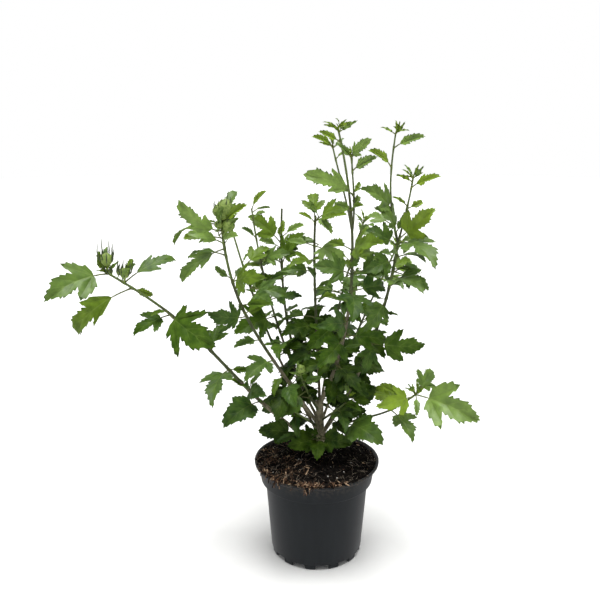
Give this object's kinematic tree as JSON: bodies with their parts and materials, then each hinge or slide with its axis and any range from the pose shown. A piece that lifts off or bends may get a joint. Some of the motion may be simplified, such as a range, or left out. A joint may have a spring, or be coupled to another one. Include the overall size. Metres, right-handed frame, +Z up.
{
  "type": "potted hibiscus shrub",
  "caption": "Young branching hibiscus shrub with lobed leaves and flower buds, standing in a round tapered nursery pot of soil.",
  "frame": {"origin": "the middle of the pot's flat underside, where it stands on the ground", "axes": "+Z straight up, -Y towards the shrub's front, +X to the right as seen from the front"},
  "size_m": [0.5179, 0.27, 0.5865],
  "materials": {
    "pot_plastic": "dark charcoal moulded plastic with a low satin sheen",
    "potting_soil": "damp near-black peat with brown bark chips, straw-coloured fibres and white grit",
    "bark": "dull grey-brown bark, finely ridged",
    "foliage": "soft satin leaves, yellow-green when young and deep green when old"
  },
  "bodies": {
    "root": {"pot": "pot_plastic", "soil": "potting_soil", "trunk": "bark", "bough_arch": "bark", "bough_left": "bark", "bough_left_back": "bark", "bough_back_left": "bark", "bough_cut_back": "bark", "bough_cut_middle": "bark", "bough_back_right": "bark", "bough_right_back": "bark", "bough_right": "bark", "bough_low_right": "bark", "bough_leader": "bark", "foliage_arch": "foliage", "foliage_left": "foliage", "foliage_left_back": "foliage", "foliage_back_left": "foliage", "foliage_cut_back": "foliage", "foliage_cut_middle": "foliage", "foliage_back_right": "foliage", "foliage_right_back": "foliage", "foliage_right": "foliage", "foliage_low_right": "foliage", "foliage_leader": "foliage", "foliage_sprig_front": "foliage", "foliage_sprig_corner": "foliage", "foliage_sprig_low_left": "foliage", "foliage_sprig_low_right": "foliage", "foliage_sprig_bud": "foliage", "foliage_sprig_back": "foliage", "foliage_sprig_back_right": "foliage"}
  },
  "joints": []
}
